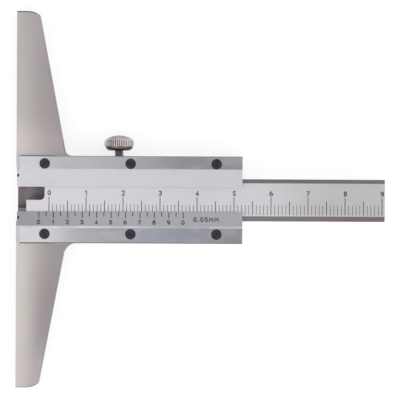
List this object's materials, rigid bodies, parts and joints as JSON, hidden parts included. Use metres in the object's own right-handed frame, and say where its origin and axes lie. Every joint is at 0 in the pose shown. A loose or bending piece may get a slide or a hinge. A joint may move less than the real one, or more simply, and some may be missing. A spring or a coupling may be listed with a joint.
{
  "type": "vernier depth gauge",
  "caption": "Vernier depth gauge: a T-shaped steel body whose base is the reference, a sliding graduated beam with a narrow tip, a vernier plate and a knurled clamp screw.",
  "frame": {"origin": "on the rear face, where the measuring face's plane meets the beam's centre line", "axes": "+X from the measuring face along the beam to its far end, so the tip moves towards -X; +Y along the base to the clamp screw's side; +Z out of the graduated front. The gauge lies on its rear face."},
  "size_m": [0.0996, 0.1018, 0.0082],
  "materials": {
    "base_steel": "satin ground",
    "plate_steel": "finely ground flats with a satin bevel",
    "vernier_chrome": "satin",
    "beam_chrome": "satin",
    "spring_bronze": "rolled",
    "pad_brass": "turned",
    "stud_black": "black oxide on steel",
    "knob_nickel": "nickel plated, knurled",
    "screw_black": "black oxide on steel"
  },
  "bodies": {
    "frame": {"frame_body": "base_steel", "upper_plate": "plate_steel", "vernier_plate": "vernier_chrome", "leaf_spring": "spring_bronze", "upper_plate_screw_1": "screw_black", "upper_plate_screw_2": "screw_black", "upper_plate_screw_3": "screw_black", "vernier_plate_screw_1": "screw_black", "vernier_plate_screw_2": "screw_black", "vernier_plate_screw_3": "screw_black"},
    "beam": {"beam": "beam_chrome"},
    "clamp_pad": {"clamp_pad": "pad_brass"},
    "clamp_screw": {"clamp_stud": "stud_black", "clamp_knob": "knob_nickel"}
  },
  "joints": [
    {"name": "beam_slide", "type": "slide", "parent": "frame", "child": "beam", "axis": [-1, 0, 0], "range_m": [-0.005, 0.0527]},
    {"name": "clamp_advance", "type": "slide", "parent": "frame", "child": "clamp_pad", "axis": [0, 1, 0], "range_m": [0, 0.0009]},
    {"name": "clamp_turn", "type": "hinge", "parent": "clamp_pad", "child": "clamp_screw", "pos_m": [0.0277, 0.0118, 0.0042], "axis": [0, 1, 0], "range_deg": [0, 720]}
  ],
  "couplings": [
    {"joint": "clamp_turn", "follows": "clamp_advance", "rad_per_m": 13963}
  ]
}
